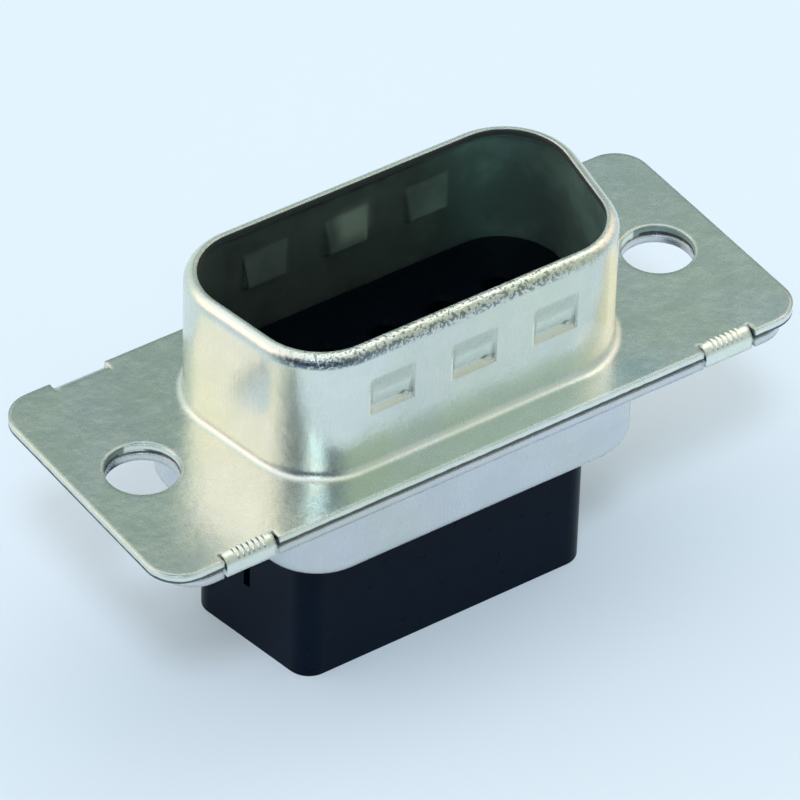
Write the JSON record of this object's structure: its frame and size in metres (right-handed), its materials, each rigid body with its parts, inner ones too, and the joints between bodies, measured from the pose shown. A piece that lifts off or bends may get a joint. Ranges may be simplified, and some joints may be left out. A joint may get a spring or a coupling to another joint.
{
  "type": "d-sub connector",
  "caption": "D-shaped connector housing for crimped contacts: two pressed steel shells with fixing holes and folded tabs trap a two-part moulded insulator with open contact cavities.",
  "frame": {"origin": "centre of the footprint, on the surface that the end of the rear insulator block stands on", "axes": "+Z out of the mouth of the front hood, +X along the flange from one fixing hole to the other, +Y from the narrow side of the D to its wide side"},
  "size_m": [0.0308, 0.0126, 0.0175],
  "materials": {
    "tinned_steel": "tin-plated pressed steel, satin, with bright sheared edges",
    "black_insulator": "black glass-filled moulding, matt"
  },
  "bodies": {
    "root": {"front_shell": "tinned_steel", "rear_shell": "tinned_steel", "front_insulator": "black_insulator", "rear_insulator": "black_insulator"}
  },
  "joints": []
}
